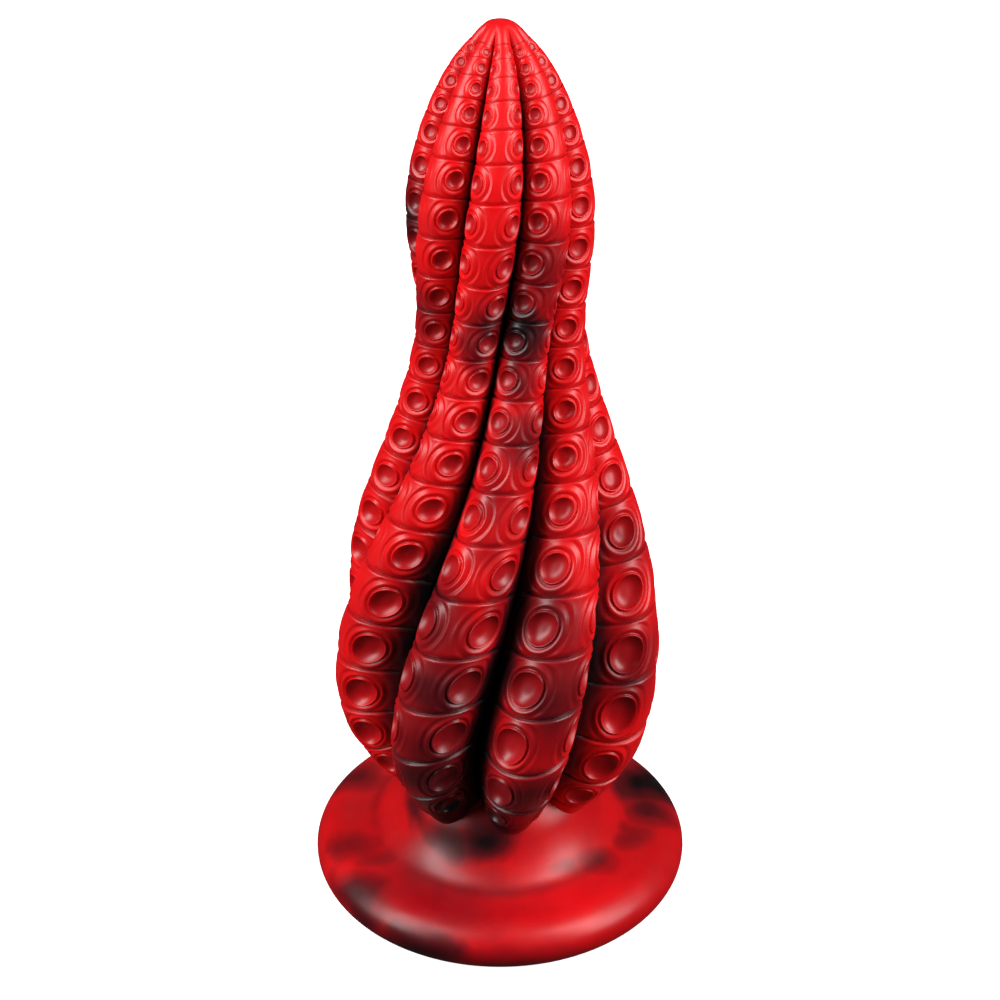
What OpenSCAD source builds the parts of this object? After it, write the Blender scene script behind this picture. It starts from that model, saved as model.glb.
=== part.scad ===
// Tapered bundle of eight sucker-lined arms, moulded in silicone on a round suction base.
// The arms lie side by side round a solid core and turn about the upright axis as they rise:
// out over a bulb, in to a waist, out again at a small head, and together at the tip.
// Millimetres, +Z up, origin on the axis in the plane that the base stands on, front towards -Y.

/* [Overall] */
// Height of the tip above the plane the base stands on
total_h = 219.5; // [214:0.5:225]
// Width across the base
base_w = 96; // [94:1:102]

/* [Arm bundle] */
// Width across the bulb
bulb_w = 82; // [78:1:86]
// Width across the waist
waist_w = 39; // [37:1:41]
// Width across the head
head_w = 42; // [40:1:44]
// Turn of an arm about the axis from its foot to the tip, in degrees
twist = 91; // [80:1:95]
// Where the foot of the first arm points, in degrees from the front towards +X
foot_turn = -37; // [-90:1:90]

/* [Suckers] */
// Length of a segment compared with the radius of its arm, at the two ends of the arm
segment_end = 1.18; // [1.12:0.01:1.35]
// How much longer than that the segments are round the waist
segment_extra = 0.49; // [0.3:0.01:0.55]
// Angle of a row of suckers from the ridge of its arm, in degrees, on the bulb
sucker_turn = 50; // [46:1:52]
// How much wider apart the rows are on the head, in degrees from the ridge
sucker_spread = 7; // [0:1:8]
// Rise from one sucker of a pair to the other, compared with the distance between them
sucker_skew = 0.16; // [0:0.01:0.25]
// Radius of a sucker's outer edge compared with the length of its segment
sucker_size = 0.4; // [0.34:0.01:0.42]

/* [Base] */
// Height of the rounded rim of the base at its crest
rim_h = 12.7; // [11.5:0.1:14]
// Width of the rounded rim from its crest to its outer edge
rim_round = 8.4; // [7.5:0.1:10]
// Radius of the hub where the feet of the arms end
hub_r = 25.2; // [24.5:0.1:26]
// Width across the mouth of the suction recess
recess_w = 62; // [56:1:66]
// Depth of the suction recess
recess_h = 8; // [6.5:0.5:9]

/* [Hidden] */
ARMS = 8;
STEP = 360 / ARMS;  // angle from one arm to the next
HALF = STEP / 2;
ARM_NUMBERS = [1:ARMS];

RED = [0.78, 0.03, 0.03];
MAROON = [0.45, 0.03, 0.04];
DARK = [0.16, 0.03, 0.03];

// Radius of the ring of arm centrelines in a bundle this wide
function ring_r(width) = width / 2 / (1 + sin(HALF));
// A control point stands a little outside a bulge of the curve and inside a waist
BULB_PULL = 1.03;
WAIST_PULL = 0.957;
HEAD_PULL = 1.02;
bulb_r = BULB_PULL * ring_r(bulb_w);
waist_r = WAIST_PULL * ring_r(waist_w);
head_r = HEAD_PULL * ring_r(head_w);

// Centreline of an arm: control points of a B-spline, each the distance from the axis,
// the share of the height and the share of the twist
ARM_PATH = [
  [0.46 * bulb_r, 0.087, 0],  // inside the hub
  [0.66 * bulb_r, 0.141, 0.008],
  [0.95 * bulb_r, 0.221, 0.029],
  [bulb_r, 0.294, 0.086],  // bulb
  [0.92 * bulb_r, 0.412, 0.211],
  [1.41 * waist_r, 0.554, 0.446],
  [waist_r, 0.681, 0.633],  // waist
  [0.97 * head_r, 0.763, 0.767],
  [head_r, 0.847, 0.875],  // head
  [0.52 * head_r, 0.968, 0.96],
  [0, 1, 1]];  // tip
LAST = len(ARM_PATH) - 1;

// The same points as distance, height and turn, with one more past each end
CONTROL = [for (p = ARM_PATH) [p[0], p[1] * total_h, foot_turn + p[2] * twist]];
SPLINE = concat(
  [2 * CONTROL[0] - CONTROL[1]],
  CONTROL,
  [2 * CONTROL[LAST] - CONTROL[LAST - 1]]);

// Point on the centreline and its rate of change; u runs from 0 to LAST
function span(u) = min(floor(u), LAST - 1);
function blend(w, i) =
  (w[0] * SPLINE[i] + w[1] * SPLINE[i + 1] + w[2] * SPLINE[i + 2] + w[3] * SPLINE[i + 3]) / 6;
function centre(u) =
  let (t = u - span(u))
  blend([pow(1 - t, 3), 3 * t * t * t - 6 * t * t + 4, -3 * t * t * t + 3 * t * t + 3 * t + 1, t * t * t], span(u));
function rate(u) =
  let (t = u - span(u))
  blend([-3 * pow(1 - t, 2), 9 * t * t - 12 * t, -9 * t * t + 6 * t + 3, 3 * t * t], span(u));

// What a cross-section needs: distance, height, turn, the outward normal's two parts,
// the cosine and sine of the arm's slant, and the radius of the arm
function section(u) =
  let (
    q = centre(u),
    d = rate(u),
    climb = norm([d[0], d[1]]),
    sideways = q[0] * d[2] * PI / 180,
    run = norm([climb, sideways]))
  [q[0], q[1], q[2], d[1] / climb, -d[0] / climb, climb / run, sideways / run, q[0] * sin(HALF) * climb / run];

// Point at an angle round the axis, at a radius and a height
function polar(turn, radius, height) = [radius * sin(turn), -radius * cos(turn), height];

/* Arms: a round outer lobe, two flat flanks on the planes between neighbours, and a hollow
   inner face that lies on the core. Neighbours share the corners of their flanks. */
FOOT_U = 0.6;  // where the arms end on the hub
TIP_U = 9.85;  // last whole ring, just below the point of the tip
RINGS = 54;
LOBE_STEPS = 10;
CORE_DEPTH = 1;  // how far inside the centreline the core begins, in arm radii
FOOT_DEPTH = 0.3;  // and the middle of the foot's end face
ANGLE_SLACK = 0.001;

RING_US = [for (i = [0:RINGS - 1]) FOOT_U + (TIP_U - FOOT_U) * i / (RINGS - 1)];
SECTIONS = [for (u = RING_US) section(u)];

// Half width of the lobe that touches the planes between neighbours, and the angle where it does
function lobe_w(c) = tan(HALF) * sqrt(c[0] * c[0] - pow(c[7] * c[3], 2));
function touch(c) = atan2(lobe_w(c), -c[7] * c[3] * tan(HALF));

// Point inside the centreline by a share of the arm's radius, as distance and height
function inside(c, depth) = [c[0] - depth * c[7] * c[3], c[1] - depth * c[7] * c[4]];
function inner_point(c, depth, turn) = polar(turn, inside(c, depth)[0], inside(c, depth)[1]);

function lobe_point(c, a, turn) =
  let (
    out = c[0] + c[7] * cos(a) * c[3],
    side = abs(a) < touch(c) - ANGLE_SLACK ? lobe_w(c) * sin(a) : sign(a) * out * tan(HALF))
  polar(turn + atan2(side, out), norm([out, side]), c[1] + c[7] * cos(a) * c[4]);

function arm_ring(c, turn) = concat(
  [for (k = [0:LOBE_STEPS]) lobe_point(c, touch(c) * (2 * k / LOBE_STEPS - 1), turn)],
  [for (side = [HALF, 0, -HALF]) inner_point(c, CORE_DEPTH, turn + side)]);

ARM_POINTS = LOBE_STEPS + 4;

// Two triangles between neighbouring rings; the diagonal leans the other way past the middle
function strip(j, k, count, flip) =
  let (
    a = j * count + k,
    b = j * count + (k + 1) % count,
    c = b + count,
    d = a + count)
  flip ? [[a, d, b], [b, d, c]] : [[a, c, b], [a, d, c]];

// Faces of a tube of rings, closed on a point at each end: the last two points of the list
function tube_faces(rings, count, flips) = concat(
  [for (j = [0:rings - 2]) for (k = [0:count - 1]) for (f = strip(j, k, count, flips[k])) f],
  [for (k = [0:count - 1]) [k, (k + 1) % count, rings * count]],
  [for (k = [0:count - 1]) [(rings - 1) * count + (k + 1) % count, (rings - 1) * count + k, rings * count + 1]]);

TIP = [0, 0, total_h];
FOOT = SECTIONS[0];
CORE_FOOT = inside(FOOT, CORE_DEPTH);

module arm(number) {
  start = (number - 1) * STEP;
  rings = [for (c = SECTIONS) arm_ring(c, c[2] + start)];
  foot_middle = inner_point(FOOT, FOOT_DEPTH, FOOT[2] + start);
  color(number % 2 == 0 ? RED : MAROON)
    polyhedron(
      concat([for (ring = rings) for (p = ring) p], [foot_middle, TIP]),
      tube_faces(RINGS, ARM_POINTS, [for (k = [0:ARM_POINTS - 1]) k > LOBE_STEPS + 1]));
}

module core() {
  rings = [for (c = SECTIONS) [for (k = [0:2 * ARMS - 1]) inner_point(c, CORE_DEPTH, c[2] + k * HALF)]];
  color(DARK)
    polyhedron(
      concat([for (ring = rings) for (p = ring) p], [[0, 0, CORE_FOOT[1]], TIP]),
      tube_faces(RINGS, 2 * ARMS, [for (k = [0:2 * ARMS - 1]) k % 2 == 0]));
}

/* Suckers: one pair on each segment of an arm. The segments are counted down from the top
   one, and a segment is as long as the rule at its height says. */
TOP_SEGMENT_Z = 0.952 * total_h;
LONG_SEGMENT_Z = 0.674 * total_h;
LONG_SEGMENT_REACH = 0.273 * total_h;
SAMPLES_PER_SPAN = 20;
TIP_SAMPLES = 3;  // samples left out at the tip, where a segment would have no length
TOP_SMALL = 2;  // small segments above the top one
LOWEST = 18;  // segments below it

// Length of a segment at a height in arm radii, and at a cross-section in millimetres
function segment_ratio(z) =
  segment_end + segment_extra * exp(-pow((z - LONG_SEGMENT_Z) / LONG_SEGMENT_REACH, 2));
function segment_l(c) = c[7] * segment_ratio(c[1]);
SAMPLES = [for (i = [0:LAST * SAMPLES_PER_SPAN - TIP_SAMPLES]) section(i / SAMPLES_PER_SPAN)];
function sample_run(i) = norm(
  polar(SAMPLES[i + 1][2], SAMPLES[i + 1][0], SAMPLES[i + 1][1])
  - polar(SAMPLES[i][2], SAMPLES[i][0], SAMPLES[i][1]));
// Segments counted up the arm, for each sample
COUNTS = [
  for (i = 0, n = 0; i < len(SAMPLES) - 1; n = n + sample_run(i) / segment_l(SAMPLES[i]), i = i + 1)
    [n, i / SAMPLES_PER_SPAN, SAMPLES[i][1]]];
TOP_COUNT = lookup(TOP_SEGMENT_Z, [for (row = COUNTS) [row[2], row[0]]]);
function segment_u(number) = lookup(TOP_COUNT - number, [for (row = COUNTS) [row[0], row[1]]]);

// Outline of a sucker as a share of its outer radius: a foot sunk in the arm, an outer
// slope, a rounded rim and a hollow bowl
SUCKER_OUTLINE = [
  [0, -0.42],
  [0.96, -0.42],
  [1, -0.14],
  [0.88, 0.06],
  [0.76, 0.12],
  [0.66, 0.1],
  [0.5, 0.04],
  [0, 0.02]];
SUCKER_GAP = 0.01;

// Largest sucker, in arm radii, that stays on its own side of the plane between neighbours
function room(side) =
  let (a = abs(side))
  (1 / cos(HALF) + cos(a) * tan(HALF) - sin(a)) / (cos(a) + sin(a) * tan(HALF)) - SUCKER_GAP;

// A sucker on a cross-section, at an angle from the ridge of the arm
module sucker(c, side, start) {
  turn = c[2] + start;
  outward = [c[3] * sin(turn), -c[3] * cos(turn), c[4]];
  up = [-c[4] * sin(turn), c[4] * cos(turn), c[3]];
  round_axis = [cos(turn), sin(turn), 0];
  along = c[5] * up + c[6] * round_axis;
  across = cross(along, outward);
  out = cos(side) * outward + sin(side) * across;
  other = cross(out, along);
  place = polar(turn, c[0], c[1]) + c[7] * out;
  multmatrix([
      [along[0], other[0], out[0], place[0]],
      [along[1], other[1], out[1], place[1]],
      [along[2], other[2], out[2], place[2]]])
    rotate_extrude($fn = 32)
      polygon(min(sucker_size * segment_l(c), c[7] * room(side)) * SUCKER_OUTLINE);
}

// Angle of a row at a height, growing from the bulb to the head
SPREAD_FROM = 0.5 * total_h;
SPREAD_TO = 0.89 * total_h;
function row_turn(z) =
  sucker_turn + sucker_spread * max(0, min(1, (z - SPREAD_FROM) / (SPREAD_TO - SPREAD_FROM)));

// A pair sits in the middle of its segment, one sucker a little higher than the other
module suckers(number) {
  color(RED)
    for (k = [-TOP_SMALL:LOWEST - 1], side = [-1, 1]) {
      z = centre(segment_u(k + 0.5))[1];
      turn = side * row_turn(z);
      lift = sucker_skew * sin(turn) / segment_ratio(z);
      sucker(section(segment_u(k + 0.5 - lift)), turn, (number - 1) * STEP);
    }
}

/* Base: a rounded rim round a flared hub, with a domed suction recess underneath */
RIM_R = base_w / 2 - rim_round;  // radius of the crest of the rim
RIM_SINK = 0.5;  // how far the round of the rim is cut off flat underneath
RIM_HALF = (rim_h + RIM_SINK) / 2;
RIM_FLAT = asin((RIM_HALF - RIM_SINK) / RIM_HALF);  // angle where the round meets the flat
RECESS_R = (pow(recess_w / 2, 2) + pow(recess_h, 2)) / 2 / recess_h;  // radius of the dome
RECESS_SWEEP = asin(recess_w / 2 / RECESS_R);
// Shelf between the crest of the rim and the foot of the hub's flare
SHELF_W = 6.8;
SHELF_RISE = 1.1;
SHELF_MIDDLE = [3, 0.1];
// Corner that the flare bends round, from the radius of the hub and from the end of the shelf
FLARE_OUT = 2.8;
FLARE_UP = 1.8;
HUB_OVERLAP = 0.5;  // height of the hub above the lowest point of the arms' end faces
DOME_STEPS = 8;
RIM_STEPS = 16;
FLARE_STEPS = 8;

CREASE = [RIM_R - SHELF_W, rim_h + SHELF_RISE];
HUB_TOP = [hub_r, FOOT[1] + (hub_r - FOOT[0]) * FOOT[4] / FOOT[3] + HUB_OVERLAP];
FLARE_CORNER = [hub_r + FLARE_OUT, CREASE[1] + FLARE_UP];

function bend(a, b, c, steps) =
  [for (i = [0:steps]) let (t = i / steps) pow(1 - t, 2) * a + 2 * t * (1 - t) * b + t * t * c];

DOME = [
  for (i = [0:DOME_STEPS])
    let (a = RECESS_SWEEP * i / DOME_STEPS)
    [RECESS_R * sin(a), recess_h - RECESS_R * (1 - cos(a))]];
RIM = [
  for (i = [0:RIM_STEPS])
    let (a = -RIM_FLAT + (RIM_FLAT + 90) * i / RIM_STEPS)
    [RIM_R + rim_round * cos(a), RIM_HALF - RIM_SINK + RIM_HALF * sin(a)]];
BASE_OUTLINE = concat(
  DOME,
  RIM,
  [[RIM_R - SHELF_MIDDLE[0], rim_h + SHELF_MIDDLE[1]]],
  bend(CREASE, FLARE_CORNER, HUB_TOP, FLARE_STEPS),
  [CORE_FOOT, [0, CORE_FOOT[1]]]);

module suction_base() {
  color(MAROON)
    rotate_extrude($fn = 96)
      polygon(BASE_OUTLINE);
}

for (i = ARM_NUMBERS) arm(i);
for (i = ARM_NUMBERS) suckers(i);
core();
suction_base();
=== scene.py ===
"""Marbled silicone bundle of eight sucker-lined arms on a suction base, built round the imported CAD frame."""

import math

import bpy
import numpy as np
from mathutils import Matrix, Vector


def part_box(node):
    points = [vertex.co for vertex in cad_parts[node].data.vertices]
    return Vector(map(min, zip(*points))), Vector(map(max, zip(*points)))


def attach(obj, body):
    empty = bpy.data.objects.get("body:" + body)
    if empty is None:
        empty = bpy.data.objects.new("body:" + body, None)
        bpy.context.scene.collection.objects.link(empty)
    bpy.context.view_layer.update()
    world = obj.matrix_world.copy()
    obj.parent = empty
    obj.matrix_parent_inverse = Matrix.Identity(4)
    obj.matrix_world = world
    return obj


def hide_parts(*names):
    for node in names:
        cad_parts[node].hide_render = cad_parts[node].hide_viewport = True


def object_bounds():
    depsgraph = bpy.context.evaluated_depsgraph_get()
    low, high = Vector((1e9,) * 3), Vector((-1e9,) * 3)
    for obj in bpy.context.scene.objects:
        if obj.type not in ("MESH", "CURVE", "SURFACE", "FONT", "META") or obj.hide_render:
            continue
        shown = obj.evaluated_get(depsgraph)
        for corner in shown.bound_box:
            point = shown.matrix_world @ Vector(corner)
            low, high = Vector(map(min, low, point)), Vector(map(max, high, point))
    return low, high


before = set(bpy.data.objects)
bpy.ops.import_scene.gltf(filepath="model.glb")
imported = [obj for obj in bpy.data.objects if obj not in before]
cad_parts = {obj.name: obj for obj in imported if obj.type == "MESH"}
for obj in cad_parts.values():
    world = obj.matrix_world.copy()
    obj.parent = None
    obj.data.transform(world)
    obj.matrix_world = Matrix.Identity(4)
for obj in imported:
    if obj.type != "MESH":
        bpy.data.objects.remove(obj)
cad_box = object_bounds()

MM = 0.001
ARMS = 8
STEP = math.tau / ARMS

# ---------------------------------------------------------------- sizes, in millimetres
# Read from the frame where it holds them. The rest follow part.scad, some to a finer step.
base_low, base_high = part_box("suction_base")
TOTAL_H = cad_box[1].z / MM
BASE_R = base_high.x / MM
BULB_RING = 30.5  # control distances of the arm centreline from the axis
WAIST_RING = 13.5
HEAD_RING = 15.5
TWIST = 91
FOOT_TURN = -37

SEGMENT_END = 1.175  # segment length in arm radii at the ends of an arm
SEGMENT_EXTRA = 0.494  # and what is added to it round the waist
LONG_SEGMENT_Z = 148  # height of the longest segments, and how far from it they stay long
LONG_SEGMENT_REACH = 60
TOP_SEGMENT_Z = 208.9  # height of the crease that the segments above and below are counted from
SEGMENTS_ABOVE = 2
SEGMENTS_BELOW = 18
# Pairs of values, low and high on an arm, each with the heights between which it changes.
SUCKER_TURN = (50, 57), 110, 195  # degrees of a sucker from the ridge of its arm
SKEW = (0.22, 0.105), 90, 150  # rise of a crease across the arm
ARM_SQUASH = (0.86, 0.95), 90, 170  # width of a lobe compared with its depth
RELIEF = (1, 0.6), 188, 214  # how deep the relief is
BOWL = (0.6, 0.46), 60, 125  # radius of a bowl in half segment lengths
FURROW_TURN = (68, 73), 90, 170  # degrees from the ridge where painted shade begins to darken an arm's colour in its furrows
SPAN_STEPS = 120  # points of the centreline to a span of its curve
SMALLEST_RADIUS = 0.3  # radius of an arm that its segments are counted by at the very tip

CAP_REACH = 8  # length at the tip over which the lobes melt into the cap
CAP_SMOOTH = 2  # length at the tip that is all cap
CAP_ROUND = 2  # how round the cap is at its top
FLANK_TURN = math.radians(112.5)  # where an arm meets the plane between it and its neighbour

RIM_H = 12.7
RIM_ROUND = 8.4
RIM_SINK = 0.5  # how far below the ground the round section of the rim would end
CREASE_R = BASE_R - RIM_ROUND - 6.8  # crease between the rim and the hub
CREASE_Z = RIM_H + 1.1
SHELF_BEND = (BASE_R - RIM_ROUND - 4, RIM_H + 0.1)  # corners that the curves of the outline bend to
HUB_R = 25.2
HUB_Z = 23.2
FLARE_BEND = (HUB_R + 2.8, CREASE_Z + 1.8)
NECK_BEND = (HUB_R - 2, HUB_Z + 6.5)
NECK_END = (HUB_R - 9, HUB_Z + 10)
HUB_TOP = HUB_Z + 11
RECESS_R = 31
RECESS_H = 8

# ---------------------------------------------------------------- camera first
camera_data = bpy.data.cameras.new("camera")
camera_data.lens = 65.59
camera_data.sensor_width = 36
camera_data.clip_start = 0.01
camera = bpy.data.objects.new("camera", camera_data)
camera.location = (0, -0.384, 0.3086)
camera.rotation_euler = (math.radians(90 - 27.85), 0, 0)
bpy.context.collection.objects.link(camera)
bpy.context.scene.camera = camera


# ---------------------------------------------------------------- course of an arm
def arm_path():
    """Control points of an arm's centreline: distance from the axis, height, turn in degrees."""
    shares = [
        (0.46 * BULB_RING, 0.087, 0),
        (0.66 * BULB_RING, 0.141, 0.008),
        (0.95 * BULB_RING, 0.221, 0.029),
        (BULB_RING, 0.294, 0.086),
        (0.92 * BULB_RING, 0.412, 0.211),
        (1.41 * WAIST_RING, 0.554, 0.446),
        (WAIST_RING, 0.681, 0.633),
        (0.97 * HEAD_RING, 0.763, 0.767),
        (HEAD_RING, 0.847, 0.875),
        (0.52 * HEAD_RING, 0.968, 0.96),
        (0, 1, 1),
    ]
    return np.array([(r, h * TOTAL_H, FOOT_TURN + t * TWIST) for r, h, t in shares])


def b_spline(points, per_span):
    """Uniform cubic B-spline through the first and last control points."""
    ends = np.vstack([2 * points[0] - points[1], points, 2 * points[-1] - points[-2]])
    t = np.arange(per_span)[:, None] / per_span
    spans = [
        ((1 - t) ** 3 * a + (3 * t**3 - 6 * t**2 + 4) * b
         + (-3 * t**3 + 3 * t**2 + 3 * t + 1) * c + t**3 * d) / 6
        for a, b, c, d in zip(ends, ends[1:], ends[2:], ends[3:])
    ]
    return np.vstack([*spans, points[-1:]])


def unit(v):
    return v / np.maximum(np.linalg.norm(v, axis=-1, keepdims=True), 1e-12)


def smooth_step(low, high, x):
    t = np.clip((x - low) / (high - low), 0, 1)
    return t * t * (3 - 2 * t)


def change(pair, low, high, height):
    """A value that changes with the height, from the first of a pair to the second."""
    return pair[0] + (pair[1] - pair[0]) * smooth_step(low, high, height)


class Arm:
    """The first arm as a tube: its centreline, frame and radius as functions of the length along it."""

    def __init__(self):
        distance, height, turn = b_spline(arm_path(), SPAN_STEPS).T
        turn = np.radians(turn)
        self.centre = np.stack([distance * np.sin(turn), -distance * np.cos(turn), height], 1)
        runs = np.linalg.norm(np.diff(self.centre, axis=0), axis=1)
        self.s = np.concatenate([[0], np.cumsum(runs)])
        self.length = self.s[-1]
        self.azimuth = turn
        outward = np.stack([np.sin(turn), -np.cos(turn), 0 * turn], 1)
        rise, spread = np.gradient(height, self.s), np.gradient(distance, self.s)
        climb = np.hypot(rise, spread)
        up = np.array([0, 0, 1])
        self.normal = unit((rise / climb)[:, None] * outward - (spread / climb)[:, None] * up)
        along = unit(np.gradient(self.centre, self.s, axis=0))
        self.side = unit(np.cross(along, self.normal))
        self.radius = distance * math.sin(STEP / 2) * climb
        from_waist = (height - LONG_SEGMENT_Z) / LONG_SEGMENT_REACH
        self.ratio = SEGMENT_END + SEGMENT_EXTRA * np.exp(-(from_waist**2))
        density = 1 / (self.ratio * np.maximum(self.radius, SMALLEST_RADIUS))
        counts = np.concatenate([[0], np.cumsum((density[1:] + density[:-1]) / 2 * np.diff(self.s))])
        top = np.interp(TOP_SEGMENT_Z, height, counts)
        self.sucker_turn = np.radians(change(*SUCKER_TURN, height))
        self.squash = change(*ARM_SQUASH, height)
        self.skew = change(*SKEW, height)
        self.bowl = change(*BOWL, height)
        self.depth = change(*RELIEF, height)
        numbers = top - np.arange(SEGMENTS_BELOW, -SEGMENTS_ABOVE - 1, -1)
        self.creases = np.interp(numbers, counts, self.s)

    def direction(self, s, turn, squash=1):
        """Way out of the arm at an angle round it from its outermost line."""
        across = (np.sin(turn) * squash)[..., None]
        return np.cos(turn)[..., None] * self.at(s, self.normal) + across * self.at(s, self.side)

    def at(self, s, values):
        if values.ndim == 1:
            return np.interp(s, self.s, values)
        return np.stack([np.interp(s, self.s, column) for column in values.T], -1)


# ---------------------------------------------------------------- relief of a segment
# Distances from the middle of a sucker are in half segment lengths. The rings are laid out
# for a bowl of BOWL_EDGE and drawn closer together or apart round the bowl that is there.
BOWL_EDGE = 0.6
BOWL_DEPTH = 0.5  # compared with the bowl's radius
BOWL_CURVE = 3.6  # how flat a bowl is in the middle
RIMS = [(0.622, 0.022, 0.05), (0.685, 0.036, -0.05), (0.805, 0.06, 0.05)]  # place, width, height
OUTER_RIMS = [(0.985, 0.05, -0.03), (1.12, 0.07, 0.03)]
OUTER_FADE = 0.16  # how near a crease the outer ones end
SWELL = 0.035  # how much a segment bulges
LIP = (0.22, 0.036)  # width and height of the lip below a crease
CREASE_BELOW = (0.035, 0.115)  # width and depth of a crease on the segment below it
CREASE_ABOVE = (0.11, 0.07)  # and on the one above it


def ring(q, at, width, height):
    """A raised ring round the sucker, or a groove where the height is negative."""
    return height * np.exp(-(((q - at) / width) ** 2))


def to_layout(q, bowl):
    """Distance in the rings' layout, for a bowl of this radius."""
    beyond = BOWL_EDGE + (q - bowl) * (1 - BOWL_EDGE) / (1 - bowl)
    return np.where(q < bowl, q * BOWL_EDGE / bowl, np.where(q < 1, beyond, q))


def from_layout(u, bowl):
    """The other way round."""
    beyond = bowl + (u - BOWL_EDGE) * (1 - bowl) / (1 - BOWL_EDGE)
    return np.where(u < BOWL_EDGE, u * bowl / BOWL_EDGE, np.where(u < 1, beyond, u))


def relief(u, y, bowl):
    """Height of the surface in half segment lengths; y runs from crease to crease, -1 to 1."""
    dish = -BOWL_DEPTH * bowl * (1 - np.clip(u / BOWL_EDGE, 0, 1) ** BOWL_CURVE)
    rims = sum(ring(u, *rim) for rim in RIMS)
    outer = sum(ring(u, *rim) for rim in OUTER_RIMS) * (1 - ring(1 - np.abs(y), 0, OUTER_FADE, 1))
    crease = ring(1 - y, 0, *CREASE_BELOW) + ring(1 + y, 0, *CREASE_ABOVE)
    return dish + rims + outer + SWELL * (1 - y * y) + ring(1 - y, 0, *LIP) - crease


# ---------------------------------------------------------------- mesh of an arm
# Places of the mesh rings round a sucker, closest where the relief is finest.
RING_AT = [0.12, 0.24, 0.35, 0.44, 0.51, 0.56, 0.59, 0.607, 0.622, 0.638, 0.654, 0.67, 0.686, 0.702,
           0.722, 0.745, 0.768, 0.795, 0.83, 0.87, 0.91, 0.945]
# Steps from the last of them to the edge of the half segment.
OUTER_STEPS = [0.1, 0.2, 0.31, 0.42, 0.54, 0.66, 0.77, 0.86, 0.92, 0.96, 0.98, 1]
ACROSS = 20  # mesh steps from the ridge of an arm to its flank
ALONG_AT = np.array([-1, -0.98, -0.955, -0.92, -0.84, -0.7, -0.52, -0.33, -0.12,
                     0.12, 0.33, 0.52, 0.7, 0.84, 0.92, 0.955, 0.98, 1])  # mesh rows of a segment
ALONG = len(ALONG_AT) - 1
SKEW_ENDS = 12  # length at each end of an arm over which the skew dies away
FOOT_END = 1  # length along the centreline where the rounded foot closes
FOOT_ROUND = 13  # length over which the foot is rounded off
TIP_ROWS = 26
FOOT_ROWS = 16
ROW_CROWDING = 1.6  # how much those mesh rows crowd together towards the end
END_CLEARING = (0.5, 1)  # share of the way to the end over which the painted shade of the furrows dies away
BACK_STEPS = 5
BACK_SHARE = 0.9  # radius of the hidden side compared with the lobe
FURROW_REACH = math.radians(30)  # how far round the painted shade of the furrows takes to be full
FURROW_FADE = (6, 20)  # below the tip, where that painted shade begins
CREASE_PAINTED_SHADE = 0.36  # painted shade in a crease, and its reach in half segment lengths
CREASE_WIDTH = 0.045
BOWL_SHADE = (0.63, 0.57)  # ring over which the painted shade and bounce light of a bowl begins
SQUASH_TURN = (math.radians(80), FLANK_TURN)  # over which a lobe widens again to meet its neighbour
PLAIN_TURN = (math.radians(82), math.radians(106))  # over which the relief dies away in the furrow
SHARP_TURN = math.radians(60)  # edges sharper than this stay sharp


def arm_point(arm, s, turn, y, fade=1):
    """Surface point at a length, an angle round the arm and a place between two creases."""
    half = arm.at(s, arm.ratio) * arm.at(s, arm.radius) / 2
    x = (np.abs(turn) - arm.at(s, arm.sucker_turn)) * 2 / arm.at(s, arm.ratio)
    bowl = arm.at(s, arm.bowl)
    u = to_layout(np.hypot(x, y), bowl)
    foot = foot_share(s)
    depth = fade * arm.at(s, arm.depth) * (1 - smooth_step(*PLAIN_TURN, np.abs(turn)))
    out = (arm.at(s, arm.radius) + relief(u, y, bowl) * half * depth) * foot
    ends = smooth_step(0, SKEW_ENDS, s) * smooth_step(0, SKEW_ENDS, arm.length - s)
    place = s + ends * arm.at(s, arm.skew) * arm.at(s, arm.radius) * np.sin(turn)
    widening = smooth_step(*SQUASH_TURN, np.abs(turn))
    squash = arm.at(s, arm.squash)
    way = arm.direction(place, turn, squash + (1 - squash) * widening)
    lobe = arm.at(place, arm.centre) + out[..., None] * way
    melt = smooth_step(arm.length - CAP_REACH, arm.length - CAP_SMOOTH, s)[..., None]
    return lobe * (1 - melt) + cap_point(arm, s, turn) * melt


def foot_share(s):
    """Share of its radius that an arm has at a length: it is rounded off to nothing at the foot."""
    left = ((FOOT_END + FOOT_ROUND - s) / FOOT_ROUND).clip(0, 1)
    return np.sqrt(np.clip(1 - left**2, 0, 1))


def cap_point(arm, s, turn):
    """Point of the smooth cap that the eight arms run into at the tip."""
    ridge = arm.at(s, arm.centre) + arm.at(s, arm.radius)[..., None] * arm.direction(s, 0 * turn)
    reach = np.hypot(ridge[..., 0], ridge[..., 1])
    azimuth = arm.at(s, arm.azimuth) + np.clip(turn / FLANK_TURN, -1, 1) * STEP / 2
    drop = np.hypot(CAP_ROUND, TOTAL_H - ridge[..., 2]) - CAP_ROUND
    return np.stack([reach * np.sin(azimuth), -reach * np.cos(azimuth), TOTAL_H - drop], -1)


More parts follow.
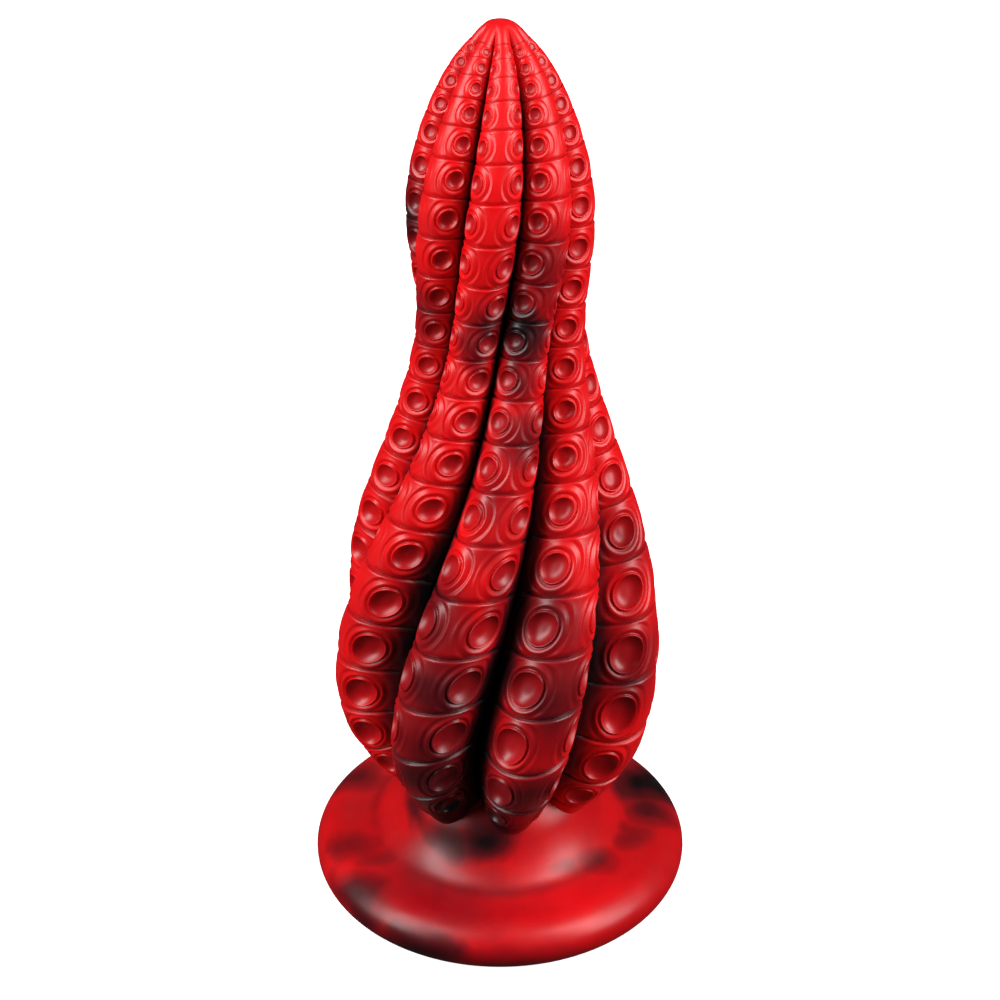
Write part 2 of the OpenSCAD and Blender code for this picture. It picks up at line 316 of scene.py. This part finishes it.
def cell(arm, low, high, side):
    """Half a segment, meshed in rings round its sucker: points and faces."""
    middle, half = (low + high) / 2, (high - low) / 2
    ratio = float(arm.at(middle, arm.ratio)) / 2
    sucker_turn = float(arm.at(middle, arm.sucker_turn))
    bowl = float(arm.at(middle, arm.bowl))
    across = np.linspace(0, FLANK_TURN, ACROSS + 1)
    along = middle + half * ALONG_AT
    flank = np.full(ALONG, FLANK_TURN)
    edge_turn = np.concatenate([across[:-1], flank, across[:0:-1], np.zeros(ALONG)])
    edge_s = np.concatenate([np.full(ACROSS, low), along[:-1], np.full(ACROSS, high), along[:0:-1]])
    edge_x = (edge_turn - sucker_turn) / ratio
    edge_y = [np.full(ACROSS, -1), ALONG_AT[:-1], np.full(ACROSS, 1), ALONG_AT[:0:-1]]
    edge_y = np.concatenate(edge_y)
    angle = np.arctan2(edge_y, edge_x)
    count = len(angle)
    rings = from_layout(np.array(RING_AT), bowl)
    rows_x = [q * np.cos(angle) for q in rings]
    rows_y = [q * np.sin(angle) for q in rings]
    last_x, last_y = rows_x[-1], rows_y[-1]
    for step in OUTER_STEPS:
        rows_x.append(last_x * (1 - step) + edge_x * step)
        rows_y.append(last_y * (1 - step) + edge_y * step)
    turn = sucker_turn + np.concatenate([[0], *rows_x]) * ratio
    y = np.concatenate([[0], *rows_y])
    s = middle + y * half
    turn[-count:], s[-count:], y[-count:] = edge_turn, edge_s, edge_y
    k = np.arange(count)
    after = (k + 1) % count
    faces = [np.stack([0 * k, 1 + k, 1 + after, 1 + after], 1)]
    for row in range(len(rows_x) - 1):
        a, b = 1 + row * count, 1 + (row + 1) * count
        faces.append(np.stack([a + k, b + k, b + after, a + after], 1))
    faces = np.concatenate(faces)
    # Share in a bowl, for its painted shade and bounce light.
    in_bowl = np.repeat(smooth_step(*BOWL_SHADE, np.array(RING_AT)), count)
    in_bowl = np.concatenate([[1], in_bowl, np.zeros(len(OUTER_STEPS) * count)])
    # Painted shade along the creases between segments.
    painted_crease_shade = CREASE_PAINTED_SHADE * np.exp(-(((1 - np.abs(y)) / CREASE_WIDTH) ** 2))
    points = tagged(arm_point(arm, s, side * turn, y), turn, in_bowl, painted_crease_shade)
    return points, faces if side > 0 else faces[:, ::-1]


def tagged(points, turn, in_bowl=0, painted_crease_shade=0):
    """Adds to each point its painted shade in the furrows and creases, and its share in a bowl, which draws
    the bowl's painted shade and bounce light.
    """
    start = np.radians(change(*FURROW_TURN, points[:, 2]))
    painted_shade = smooth_step(start, start + FURROW_REACH, np.abs(turn))
    painted_shade = painted_shade * smooth_step(*FURROW_FADE, TOTAL_H - points[:, 2])
    return np.column_stack([points, painted_shade + painted_crease_shade, in_bowl + 0 * painted_shade])


def grid_faces(rows, columns):
    j, k = np.meshgrid(np.arange(rows - 1), np.arange(columns - 1), indexing="ij")
    a = (j * columns + k).ravel()
    return np.stack([a, a + 1, a + columns + 1, a + columns], 1)


def end_strip(arm, start, stop, rows, y):
    """The smooth end of an arm past its last crease: lengths, relief fade, points and faces."""
    across = np.linspace(0, FLANK_TURN, ACROSS + 1)
    turn = np.concatenate([-across[:0:-1], across])
    t = np.linspace(0, 1, rows)
    s = start + (stop - start) * (1 - (1 - t) ** ROW_CROWDING)
    fade = (1 - t) ** 2
    s_grid, turn_grid = np.meshgrid(s, turn, indexing="ij")
    fade_grid = np.repeat(fade[:, None], len(turn), 1)
    y_grid = np.full(s_grid.size, y)
    points = arm_point(arm, s_grid.ravel(), turn_grid.ravel(), y_grid, fade_grid.ravel())
    clear = smooth_step(*END_CLEARING, t).repeat(len(turn))
    points = tagged(points, turn_grid.ravel() * (1 - clear))
    faces = grid_faces(rows, len(turn))
    return s, fade, points, faces if stop > start else faces[:, ::-1]


def back_strip(arm, s, y, fade):
    """The hidden side of an arm, from one flank round to the other."""
    flanks = [arm_point(arm, s, np.full(len(s), side * FLANK_TURN), y, fade) for side in (1, -1)]
    radius = (BACK_SHARE * arm.at(s, arm.radius) * foot_share(s))[:, None]
    turns = np.linspace(FLANK_TURN, math.tau - FLANK_TURN, BACK_STEPS + 1)[1:-1]
    inner = [arm.at(s, arm.centre) + radius * arm.direction(s, np.full(len(s), turn)) for turn in turns]
    points = np.stack([flanks[0], *inner, flanks[1]], 1).reshape(-1, 3)
    return tagged(points, np.full(len(points), FLANK_TURN)), grid_faces(len(s), BACK_STEPS + 1)


def arm_mesh(arm):
    """Points and faces of the first arm.

    It is not quite closed: in each crease between two segments their edges lie some hundredths
    of a millimetre apart, since the relief ends a little deeper on one side than on the other.
    """
    creases = arm.creases
    parts, lengths, places = [], [], []
    for low, high in zip(creases, creases[1:]):
        parts += [cell(arm, low, high, side) for side in (1, -1)]
        lengths.append((low + high) / 2 + (high - low) / 2 * ALONG_AT[:-1])
        places.append(ALONG_AT[:-1])
    foot_s, foot_fade, *foot = end_strip(arm, creases[0], FOOT_END, FOOT_ROWS, -1)
    tip_s, tip_fade, *tip = end_strip(arm, creases[-1], arm.length, TIP_ROWS, 1)
    s = np.concatenate([foot_s[:0:-1], *lengths, tip_s])
    y = np.concatenate([np.full(FOOT_ROWS - 1, -1), *places, np.full(TIP_ROWS, 1)])
    fade = np.concatenate([foot_fade[:0:-1], np.ones(len(s) - FOOT_ROWS + 1 - TIP_ROWS), tip_fade])
    return weld(*join_parts([*parts, foot, tip, back_strip(arm, s, y, fade)]))


def join_parts(parts):
    points, faces, start = [], [], 0
    for p, f in parts:
        points.append(p)
        faces.append(f + start)
        start += len(p)
    return np.concatenate(points), np.concatenate(faces)


def weld(points, faces, reach=0.002):
    """Merges points that round to the same place on a grid with steps of the reach."""
    keys = np.round(points[:, :3] / reach).astype(np.int64)
    _, first, index = np.unique(keys, axis=0, return_index=True, return_inverse=True)
    return points[first], index.ravel()[faces]


def make_object(name, points, faces, material, tags):
    """A smooth mesh object from points in millimetres and faces of four corners, some of them merged."""
    corner_lists = [list(dict.fromkeys(face)) for face in faces.tolist()]
    mesh = bpy.data.meshes.new(name)
    mesh.from_pydata((points * MM).tolist(), [], [corners for corners in corner_lists if len(corners) > 2])
    for tag, values in tags.items():
        mesh.attributes.new(tag, "FLOAT", "POINT").data.foreach_set("value", values)
    mesh.validate()
    mesh.shade_smooth()
    mesh.materials.append(material)
    thing = bpy.data.objects.new(name, mesh)
    bpy.context.collection.objects.link(thing)
    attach(thing, "root")
    return thing


def turned(points, angle):
    c, s = math.cos(angle), math.sin(angle)
    return points @ np.array([[c, s, 0], [-s, c, 0], [0, 0, 1]])


# ---------------------------------------------------------------- materials
FURROW_PAINTED_SHADE = 0.75  # painted shade added in the furrows and creases
BOWL_PAINTED_TONE = 0.4  # painted tone of a bowl, shade where the arm is light and bounce light where it is dark, and its share in the colour there
BOWL_SHARE = 0.55
BOWL_LIGHTER = -0.25  # limit of that difference where the painted bounce light makes a bowl the lighter one, before its share
STIR = 0.014  # how far the pigment clouds are stirred, in metres
STIR_SCALE = 45  # scales of the noises; a higher one is finer
LOOSE_SCALE = 17
UNEVEN_SCALE = 75
ROUGH_SCALE = 110
GRAIN_SCALE = 1400
RED = (0.78, 0.003, 0.005)
DEEP_RED = (0.36, 0.002, 0.005)
MAROON = (0.10, 0.002, 0.005)
BLACK = (0.008, 0.002, 0.003)
RAMP_STOPS = ((0.35, DEEP_RED), (0.68, MAROON))  # between red and black
ROUGHNESS = (0.33, 0.43)
CLOUD_EDGE = 1.5  # where a cloud ends, in its own reaches
LOOSE_SPAN = (0.5, 0.66)  # values of the noise that become loose clouds
BACK_SPAN = (0, 0.02)  # behind the axis, where they come in
NOISE_SPAN = (0.3, 0.7)  # values that most of a noise lies between
UNEVEN = 0.07  # small unevenness of the pigment


def add_node(tree, kind, inputs, output=0, **settings):
    """Adds a node, sets or links its inputs and returns one of its outputs."""
    item = tree.nodes.new(kind)
    for key, value in settings.items():
        setattr(item, key, value)
    for key, value in inputs.items():
        if isinstance(value, bpy.types.NodeSocket):
            tree.links.new(value, item.inputs[key])
        else:
            item.inputs[key].default_value = value
    return item.outputs[output]


def blob_place(azimuth, height, reach):
    """Place in metres at an azimuth in degrees from the front, a height and a distance from the axis."""
    turn = math.radians(azimuth)
    return (reach * math.sin(turn) * MM, -reach * math.cos(turn) * MM, height * MM)


def noise(tree, place, scale, detail, output=0, **inputs):
    inputs = {"Vector": place, "Scale": scale, "Detail": detail, **inputs}
    return add_node(tree, "ShaderNodeTexNoise", inputs, output)


def calculate(tree, operation, *values):
    return add_node(tree, "ShaderNodeMath", dict(enumerate(values)), operation=operation)


def calculate_vector(tree, operation, *values, output=0):
    return add_node(tree, "ShaderNodeVectorMath", dict(enumerate(values)), output, operation=operation)


def remap(tree, value, span, onto, kind="LINEAR"):
    inputs = {"Value": value, "From Min": span[0], "From Max": span[1], "To Min": onto[0], "To Max": onto[1]}
    return add_node(tree, "ShaderNodeMapRange", inputs, interpolation_type=kind)


def pigment(tree, place, blobs, back_share, shade_all_over):
    """Share of black: the placed clouds of pigment and loose ones at the back, over a share all over that is
    painted shade.
    """
    stir = noise(tree, place, STIR_SCALE, 3, "Color", Distortion=0.4)
    stir = calculate_vector(tree, "SUBTRACT", stir, (0.5, 0.5, 0.5))
    stirred = calculate_vector(tree, "MULTIPLY_ADD", stir, (STIR, STIR, STIR), place)
    dark = shade_all_over
    for azimuth, height, reach, width, tall, strength in blobs:
        size = (1 / width / MM, 1 / width / MM, 1 / tall / MM)
        away = calculate_vector(tree, "SUBTRACT", stirred, blob_place(azimuth, height, reach))
        away = calculate_vector(tree, "MULTIPLY", away, size)
        away = calculate_vector(tree, "LENGTH", away, output="Value")
        cloud = remap(tree, away, (0, CLOUD_EDGE), (strength, 0), "SMOOTHSTEP")
        dark = calculate(tree, "MAXIMUM", dark, cloud)
    loose = noise(tree, stirred, LOOSE_SCALE, 2, Roughness=0.45)
    loose = remap(tree, loose, LOOSE_SPAN, (0, 1), "SMOOTHSTEP")
    depth = add_node(tree, "ShaderNodeSeparateXYZ", {"Vector": place}, "Y")
    loose = calculate(tree, "MULTIPLY", loose, remap(tree, depth, BACK_SPAN, (0, back_share)))
    dark = calculate(tree, "MAXIMUM", dark, loose)
    uneven = remap(tree, noise(tree, place, UNEVEN_SCALE, 3), NOISE_SPAN, (-UNEVEN, UNEVEN))
    return calculate(tree, "ADD", dark, uneven)


def shaded(tree, dark):
    """Share of black, drawn in the bowls towards a tone of painted shade and bounce light, and raised by
    painted shade in furrows and creases.
    """
    # In a bowl: painted shade where the arm is light, painted red bounce light where it is dark.
    bowl = add_node(tree, "ShaderNodeAttribute", {}, "Fac", attribute_name="bowl")
    bowl = calculate(tree, "MULTIPLY", bowl, BOWL_SHARE)
    difference = calculate(tree, "SUBTRACT", BOWL_PAINTED_TONE, dark)
    difference = calculate(tree, "MAXIMUM", difference, BOWL_LIGHTER)
    dark = calculate(tree, "MULTIPLY_ADD", bowl, difference, dark)
    # Painted shade in the furrows and creases of the arms, and along the crease of the base.
    painted_shade = add_node(tree, "ShaderNodeAttribute", {}, "Fac", attribute_name="painted_shade")
    return calculate(tree, "MULTIPLY_ADD", painted_shade, FURROW_PAINTED_SHADE, dark)


def marbled_silicone(name, blobs, back_share, shade_all_over, ior):
    """Satin red silicone with clouds of black pigment, loose ones at the back, and a share of black all over
    that is painted shade.
    """
    material = bpy.data.materials.new(name)
    material.use_nodes = True
    tree = material.node_tree
    shader = tree.nodes["Principled BSDF"]
    place = add_node(tree, "ShaderNodeTexCoord", {}, "Object")

    ramp = tree.nodes.new("ShaderNodeValToRGB")
    tree.links.new(shaded(tree, pigment(tree, place, blobs, back_share, shade_all_over)), ramp.inputs["Fac"])
    stops = ramp.color_ramp.elements
    stops[0].position, stops[0].color = 0, (*RED, 1)
    stops[1].position, stops[1].color = 1, (*BLACK, 1)
    for position, colour in RAMP_STOPS:
        stops.new(position).color = (*colour, 1)
    tree.links.new(ramp.outputs["Color"], shader.inputs["Base Color"])

    rough = remap(tree, noise(tree, place, ROUGH_SCALE, 3), NOISE_SPAN, ROUGHNESS)
    tree.links.new(rough, shader.inputs["Roughness"])
    grain = noise(tree, place, GRAIN_SCALE, 2)
    bump = add_node(tree, "ShaderNodeBump", {"Height": grain, "Strength": 0.12, "Distance": 0.0001})
    tree.links.new(bump, shader.inputs["Normal"])
    shader.inputs["IOR"].default_value = ior
    shader.inputs["Subsurface Weight"].default_value = 0.12
    shader.inputs["Subsurface Radius"].default_value = (1, 0.08, 0.05)
    shader.inputs["Subsurface Scale"].default_value = 0.003
    return material


# Clouds of black pigment, and one on the base that is partly a painted shadow: azimuth from the front, height,
# distance from the axis, reach across and reach in height, strength.
ARM_CLOUDS = [
    (-94, 178, 19, 6, 12, 1.0),
    (-64, 158, 19, 8, 10, 0.42),
    (-6, 155, 19, 6, 9, 0.75),
    (11, 156, 20, 6, 12, 1.25),
    (26, 170, 21, 8, 13, 0.58),
    (13, 133, 23, 8, 11, 0.55),
    (-3, 121, 33, 10, 10, 0.66),
    (20, 113, 30, 10, 12, 0.28),
    (-5, 112, 35, 9, 7, 0.6),
    (-28, 94, 36, 15, 13, 0.62),
    (-22, 76, 41, 20, 15, 0.74),
    (-24, 60, 42, 18, 12, 0.68),
    (-25, 48, 36, 18, 14, 0.85),
    (-16, 32, 31, 17, 13, 1.5),
    (-50, 75, 35, 8, 20, 0.3),
    (13, 97, 37, 12, 15, 0.9),
    (14, 74, 41, 16, 18, 0.62),
    (8, 44, 36, 16, 14, 0.76),
    (4, 32, 32, 10, 8, 0.85),
    (62, 103, 33, 10, 13, 0.5),
    (50, 73, 39, 13, 12, 0.6),
]
BASE_CLOUDS = [
    (110, 12, 43, 14, 9, 1.1),
    (92, 12, 41, 9, 6, 0.75),
    (74, 13, 36, 8, 4, 0.6),
    (52, 15, 33, 9, 4, 0.55),
    (36, 15, 31, 7, 3, 0.45),
    (-30, 23, 26, 11, 8, 0.85),
    # Black pigment at the foot of the front arm, made stronger as a painted shadow between its foot and the
    # next.
    (-11, 25, 26, 12, 8, 1.05),
    (-58, 23, 26, 9, 6, 0.75),
    (-26, 13, 38, 30, 12, 0.49),
    (0, 4, 48, 32, 7, 0.42),
    (-48, 8, 47, 14, 6, 0.85),
    (-24, 5, 48, 17, 6, 0.95),
    (-70, 12, 41, 10, 4, 0.55),
    (-58, 13, 37, 8, 4, 0.5),
    (-112, 12, 41, 10, 8, 0.65),
]
CORE_CLOUDS = [(0, 110, 0, 200, 200, 0.75)]
arm_red = marbled_silicone("arm_silicone", ARM_CLOUDS, 0.85, 0, 1.48)
# The base's share of black all over is painted shade: it stands for weaker light on its upward faces than on
# the arms.
base_red = marbled_silicone("base_silicone", BASE_CLOUDS, 0.9, 0.2, 1.42)
core_red = marbled_silicone("core_silicone", CORE_CLOUDS, 0, 0, 1.42)

# ---------------------------------------------------------------- arms
arm = Arm()
arm_points, arm_faces = arm_mesh(arm)
# Painted shade of the furrows and creases, and each point's share in a bowl for the bowl's painted shade and
# bounce light.
arm_tags = {"painted_shade": arm_points[:, 3], "bowl": arm_points[:, 4]}
for number in range(ARMS):
    points = turned(arm_points[:, :3], number * STEP)
    piece = make_object(f"arm_skin_{number + 1}", points, arm_faces, arm_red, arm_tags)
    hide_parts(f"arm_{number + 1}", f"suckers_{number + 1}")


# ---------------------------------------------------------------- base
BASE_STEPS = 192
STREAK_PAINTED_SHADE = 0.22  # painted shade along the crease of the base
STREAK_WIDTH = 1.5
STREAK_WAVES = 3  # how often it swells and thins on the way round, how much and from where
STREAK_UNEVEN = 0.4
STREAK_TURN = 0.5


def bend(a, b, c, steps):
    """Curve from a to c that bends towards b."""
    t = np.linspace(0, 1, steps)[:, None]
    return (1 - t) ** 2 * np.array(a) + 2 * t * (1 - t) * np.array(b) + t**2 * np.array(c)


def base_outline():
    """Half section of the base, from the middle of the recess round the rim to the hub's top."""
    rim_r = BASE_R - RIM_ROUND
    half = (RIM_H + RIM_SINK) / 2
    dome_r = (RECESS_R**2 + RECESS_H**2) / 2 / RECESS_H
    a = np.linspace(0, math.asin(RECESS_R / dome_r), 20)
    dome = np.stack([dome_r * np.sin(a), RECESS_H - dome_r * (1 - np.cos(a))], 1)
    a = np.linspace(-math.asin((half - RIM_SINK) / half), math.radians(90), 40)
    rim = np.stack([rim_r + RIM_ROUND * np.cos(a), half - RIM_SINK + half * np.sin(a)], 1)
    shelf = bend((rim_r, RIM_H), SHELF_BEND, (CREASE_R, CREASE_Z), 10)[1:-1]
    flare = bend((CREASE_R, CREASE_Z), FLARE_BEND, (HUB_R, HUB_Z), 24)
    neck = bend((HUB_R, HUB_Z), NECK_BEND, NECK_END, 12)[1:]
    return np.vstack([dome, rim, shelf, flare, neck, [(0, HUB_TOP)]])


def revolve(outline, steps):
    """Points and faces of an outline turned round the axis."""
    turn = np.linspace(0, math.tau, steps, endpoint=False)
    r, z = outline[:, 0][:, None], outline[:, 1][:, None]
    points = np.stack([r * np.sin(turn), -r * np.cos(turn), z + 0 * turn], -1).reshape(-1, 3)
    j, k = np.meshgrid(np.arange(len(outline) - 1), np.arange(steps), indexing="ij")
    a, b = (j * steps + k).ravel(), (j * steps + (k + 1) % steps).ravel()
    return points, np.stack([a, b, b + steps, a + steps], 1)


points, faces = weld(*revolve(base_outline(), BASE_STEPS))
reach = np.hypot(points[:, 0], points[:, 1])
azimuth = np.arctan2(points[:, 0], -points[:, 1])
streaks = 1 - STREAK_UNEVEN + STREAK_UNEVEN * np.cos(STREAK_WAVES * azimuth - STREAK_TURN)
# Painted shade along the crease between the rim and the hub, swelling and thinning on the way round.
painted_crease_shade = STREAK_PAINTED_SHADE * streaks * ring(reach, CREASE_R, STREAK_WIDTH, 1) * (points[:, 2] > RIM_H)
base = make_object("base_body", points, faces, base_red, {"painted_shade": painted_crease_shade})
base.data.set_sharp_from_angle(angle=SHARP_TURN)
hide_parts("suction_base")

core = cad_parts["core"]
for slot in core.material_slots:
    slot.material = core_red

# ---------------------------------------------------------------- floor and light
WORLD_LIGHT = 0.04  # how strongly the world lights; the camera sees it white
SIDE_POWER = 8.4
BACK_POWER = 3
AIM = (0, 0, 0.1)

floor_white = bpy.data.materials.new("pale_floor")
floor_white.use_nodes = True
floor_inputs = floor_white.node_tree.nodes["Principled BSDF"].inputs
floor_inputs["Base Color"].default_value = (0.92, 0.92, 0.92, 1)
floor_inputs["Roughness"].default_value = 0.9
floor_inputs["Emission Color"].default_value = (1, 1, 1, 1)
floor_inputs["Emission Strength"].default_value = 0.9
bpy.ops.mesh.primitive_plane_add(size=8)
floor = bpy.context.object
floor.name = "floor"
floor.data.materials.append(floor_white)
floor.visible_diffuse = False
floor.visible_glossy = False

world = bpy.data.worlds.new("studio")
bpy.context.scene.world = world
world.use_nodes = True
world_inputs = world.node_tree.nodes["Background"].inputs
world_inputs["Color"].default_value = (1, 1, 1, 1)
seen = add_node(world.node_tree, "ShaderNodeLightPath", {}, "Is Camera Ray")
seen = calculate(world.node_tree, "MULTIPLY_ADD", seen, 1 - WORLD_LIGHT, WORLD_LIGHT)
world.node_tree.links.new(seen, world_inputs["Strength"])


def soft_light(name, place, size, power):
    """A rectangular area light turned towards AIM."""
    data = bpy.data.lights.new(name, "AREA")
    data.shape = "RECTANGLE"
    data.size, data.size_y = size
    data.energy = power
    lamp = bpy.data.objects.new(name, data)
    lamp.location = place
    way = np.array(AIM) - np.array(place)
    tilt = math.atan2(math.hypot(way[0], way[1]), -way[2])
    lamp.rotation_euler = (tilt, 0, math.atan2(way[0], -way[1]) + math.pi)
    bpy.context.collection.objects.link(lamp)
    return lamp


for name, side in (("left_box", -1), ("right_box", 1)):
    soft_light(name, (side * 0.6, -0.28, 0.55), (0.35, 0.8), SIDE_POWER)
back_box = soft_light("back_box", (0, 0.9, 0.3), (0.6, 0.6), BACK_POWER)
back_box.visible_glossy = False
bpy.context.scene.view_settings.view_transform = "Standard"
